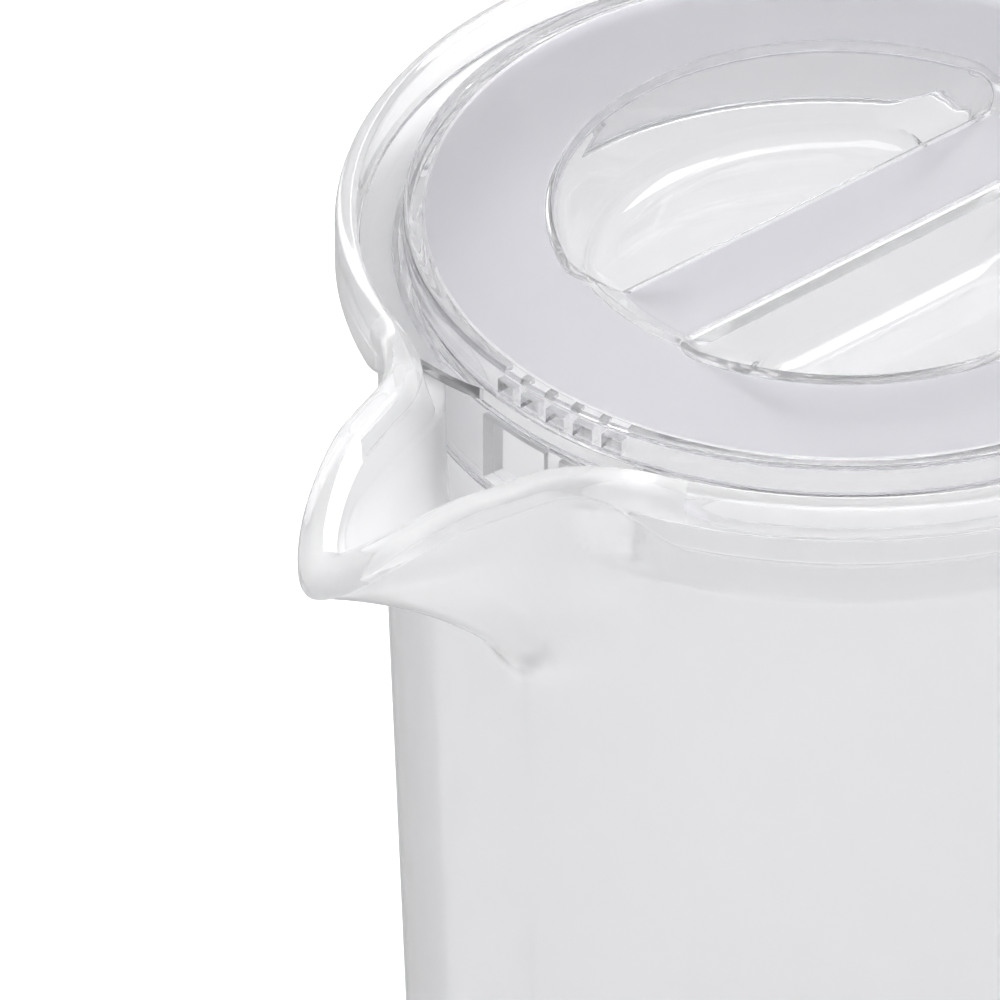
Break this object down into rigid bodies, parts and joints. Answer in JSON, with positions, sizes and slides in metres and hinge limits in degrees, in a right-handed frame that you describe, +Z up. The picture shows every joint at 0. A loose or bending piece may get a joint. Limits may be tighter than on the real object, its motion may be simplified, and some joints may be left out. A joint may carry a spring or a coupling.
{
  "type": "lidded pitcher",
  "caption": "Clear round serving pitcher with a wide pouring spout, a looped handle and a drop-in lid whose cover turns by a sunken grip bar.",
  "frame": {"origin": "centre of the base, on the table", "axes": "+Z up along the jug's axis, spout along -X, handle along +X"},
  "size_m": [0.2068, 0.13, 0.205],
  "materials": {
    "jug_plastic": "gloss",
    "lid_plastic": "gloss"
  },
  "bodies": {
    "jug": {"jug_body": "jug_plastic", "handle": "jug_plastic"},
    "lid_ring": {"lid_ring": "lid_plastic"},
    "lid_cover": {"lid_cover": "lid_plastic"}
  },
  "joints": [
    {"name": "lid_lift", "type": "slide", "parent": "jug", "child": "lid_ring", "axis": [0, 0, 1], "range_m": [0, 0.05]},
    {"name": "lid_turn", "type": "hinge", "parent": "lid_ring", "child": "lid_cover", "pos_m": [0, 0, 0.2], "axis": [0, 0, 1], "continuous": true}
  ]
}
